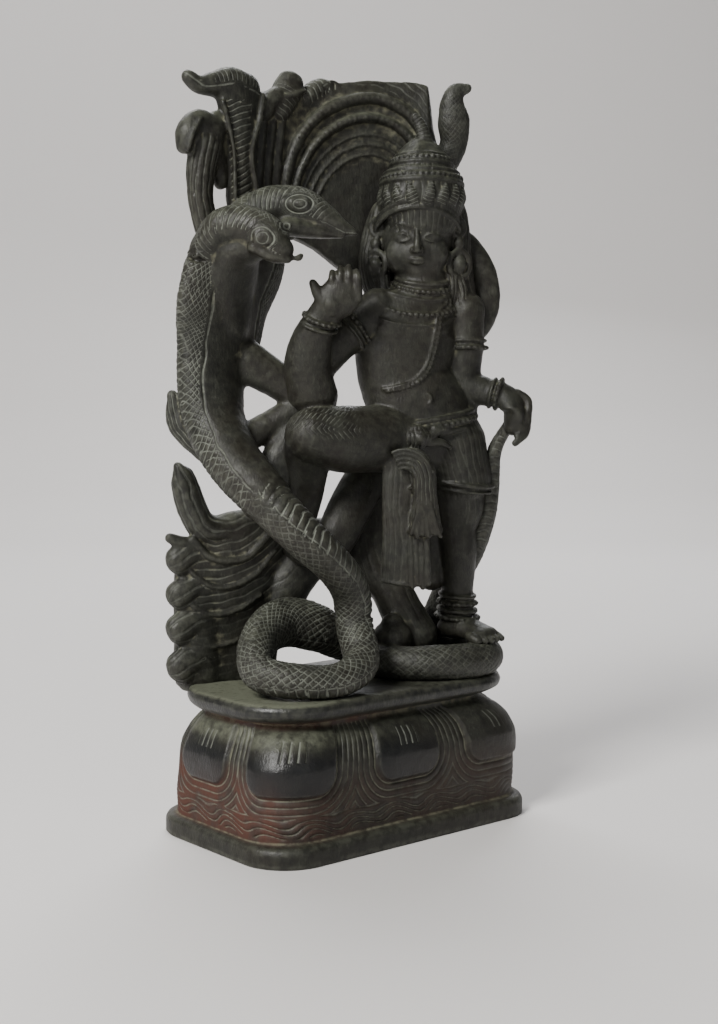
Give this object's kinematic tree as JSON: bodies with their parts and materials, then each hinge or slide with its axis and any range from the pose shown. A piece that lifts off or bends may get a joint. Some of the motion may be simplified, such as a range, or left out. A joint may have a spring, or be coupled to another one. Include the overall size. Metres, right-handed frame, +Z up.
{
  "type": "shiva figure",
  "caption": "Dark carved stone figure dancing on a coiled, hooded serpent under a canopy of small cobras, cut in one with its lotus plinth.",
  "frame": {"origin": "centre of the plinth's underside", "axes": "+Z up through the carving, +X to the viewer's right along the plinth's long side, -Y to the front"},
  "size_m": [0.114, 0.071, 0.2506],
  "materials": {
    "stone": "satin"
  },
  "bodies": {
    "root": {"carved_figure": "stone"}
  },
  "joints": []
}
